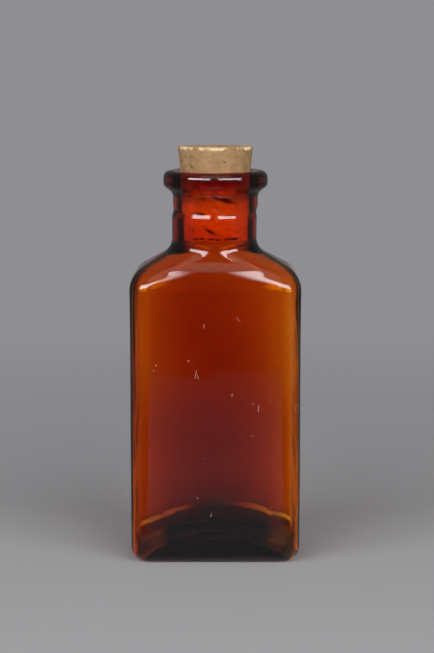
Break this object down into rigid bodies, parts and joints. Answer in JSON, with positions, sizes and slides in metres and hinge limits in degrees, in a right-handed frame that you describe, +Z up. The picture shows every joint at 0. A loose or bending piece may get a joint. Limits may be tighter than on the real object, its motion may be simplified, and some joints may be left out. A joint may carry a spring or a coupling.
{
  "type": "medicine bottle",
  "caption": "Oblong amber glass medicine bottle with arched shoulders, a short round neck, a ring lip and a tapered cork stopper that pulls out.",
  "frame": {"origin": "centre of the foot, on the surface the bottle stands on", "axes": "+Z up through the neck, +X across the broad front panel, -Y the way that panel faces"},
  "size_m": [0.0512, 0.0314, 0.1251],
  "materials": {
    "amber_glass": "glossy hand-blown amber glass, thick in the foot and thin at the corners",
    "cork": "matt natural cork, pitted, with a paler chipped top edge"
  },
  "bodies": {
    "bottle": {"glass_bottle": "amber_glass"},
    "cork": {"cork_stopper": "cork"}
  },
  "joints": [
    {"name": "cork_pull", "type": "slide", "parent": "bottle", "child": "cork", "axis": [0, 0, 1], "range_m": [0, 0.045]}
  ]
}
